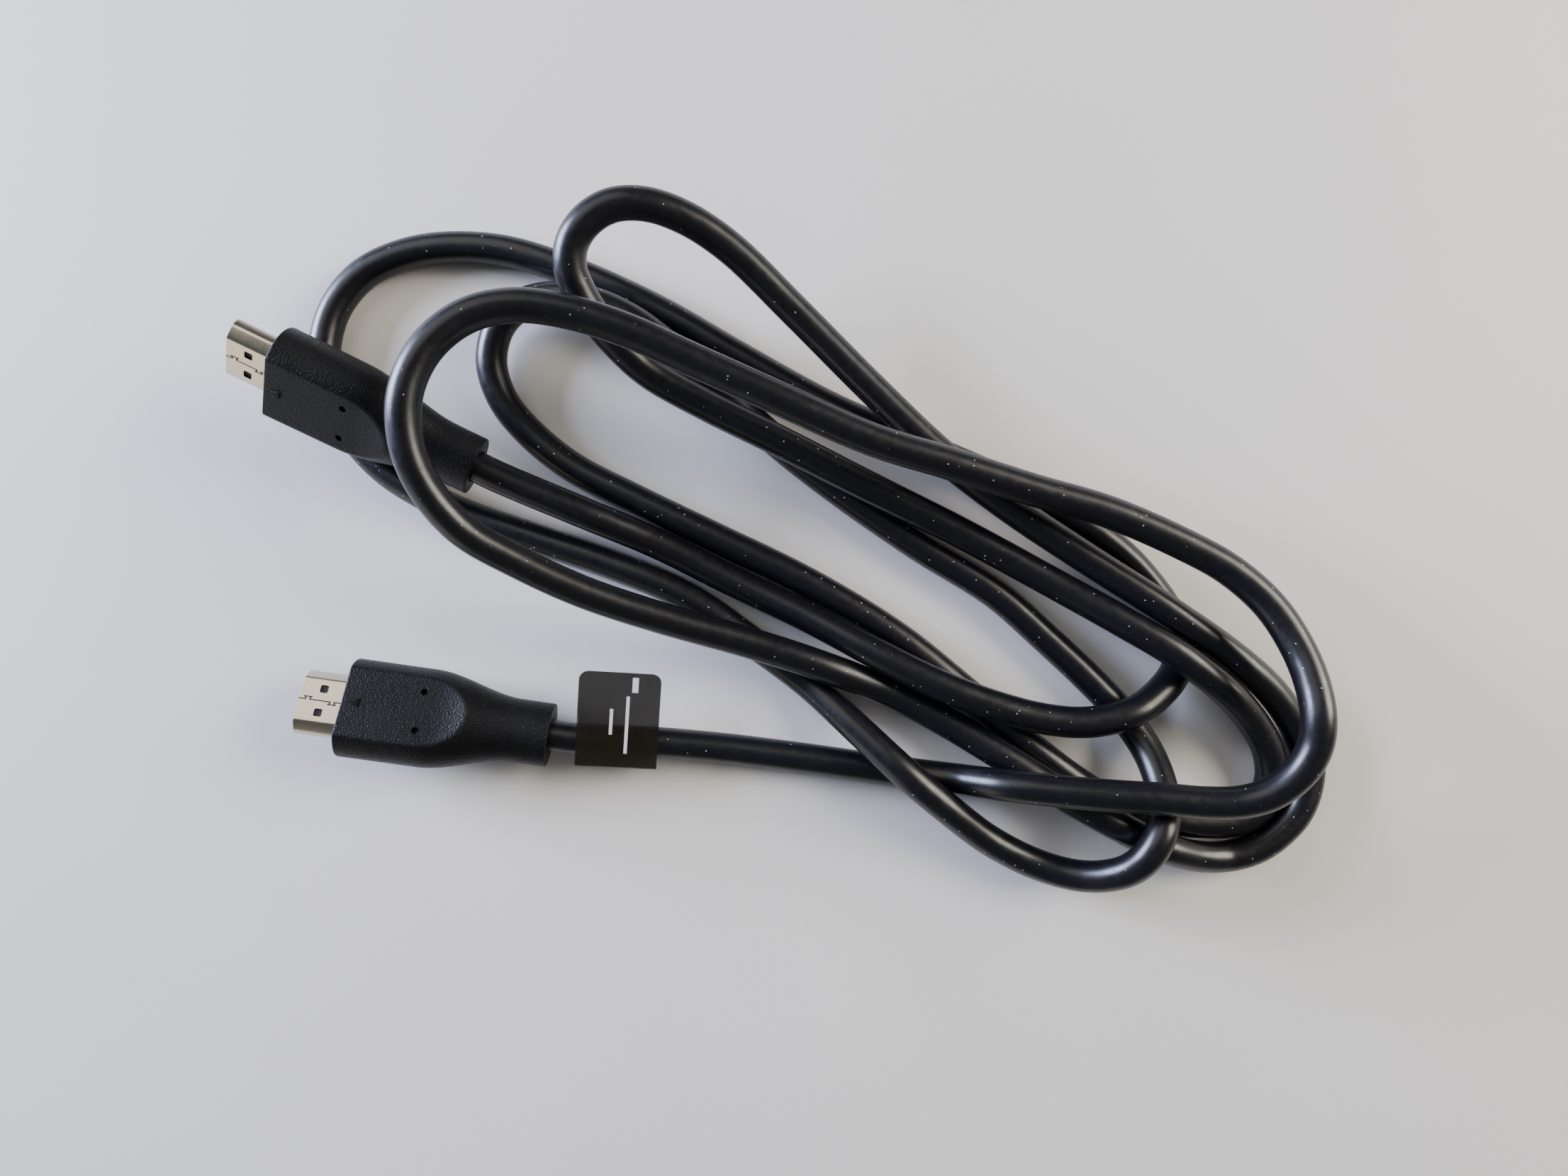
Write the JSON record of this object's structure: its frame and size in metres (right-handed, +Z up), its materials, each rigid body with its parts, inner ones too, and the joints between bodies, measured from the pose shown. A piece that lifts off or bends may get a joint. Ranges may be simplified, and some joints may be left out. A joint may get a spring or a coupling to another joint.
{
  "type": "hdmi cable",
  "caption": "Loosely coiled HDMI cable with a moulded, flat-faced plug on each end and a folded film label behind one plug.",
  "frame": {"origin": "under the middle of the coil's own box, on the floor that the coil lies on", "axes": "+X along the coil's length, from the plugs' end to the round end; +Z up, off the floor; +Y across the coil"},
  "size_m": [0.2356, 0.1462, 0.0393],
  "materials": {
    "jacket": "satin black PVC with a little dust",
    "grip": "black moulding with a fine grain",
    "shell": "satin nickel plate",
    "insulator": "smooth black",
    "contact": "gold flash",
    "label": "smoky see-through film"
  },
  "bodies": {
    "root": {"cable_jacket": "jacket", "plug_a_overmold": "grip", "plug_a_shell": "shell", "plug_a_insulator": "insulator", "plug_a_contact_01": "contact", "plug_a_contact_02": "contact", "plug_a_contact_03": "contact", "plug_a_contact_04": "contact", "plug_a_contact_05": "contact", "plug_a_contact_06": "contact", "plug_a_contact_07": "contact", "plug_a_contact_08": "contact", "plug_a_contact_09": "contact", "plug_a_contact_10": "contact", "plug_a_contact_11": "contact", "plug_a_contact_12": "contact", "plug_a_contact_13": "contact", "plug_a_contact_14": "contact", "plug_a_contact_15": "contact", "plug_a_contact_16": "contact", "plug_a_contact_17": "contact", "plug_a_contact_18": "contact", "plug_a_contact_19": "contact", "plug_b_overmold": "grip", "plug_b_shell": "shell", "plug_b_insulator": "insulator", "plug_b_contact_01": "contact", "plug_b_contact_02": "contact", "plug_b_contact_03": "contact", "plug_b_contact_04": "contact", "plug_b_contact_05": "contact", "plug_b_contact_06": "contact", "plug_b_contact_07": "contact", "plug_b_contact_08": "contact", "plug_b_contact_09": "contact", "plug_b_contact_10": "contact", "plug_b_contact_11": "contact", "plug_b_contact_12": "contact", "plug_b_contact_13": "contact", "plug_b_contact_14": "contact", "plug_b_contact_15": "contact", "plug_b_contact_16": "contact", "plug_b_contact_17": "contact", "plug_b_contact_18": "contact", "plug_b_contact_19": "contact", "flag_label": "label"}
  },
  "joints": []
}
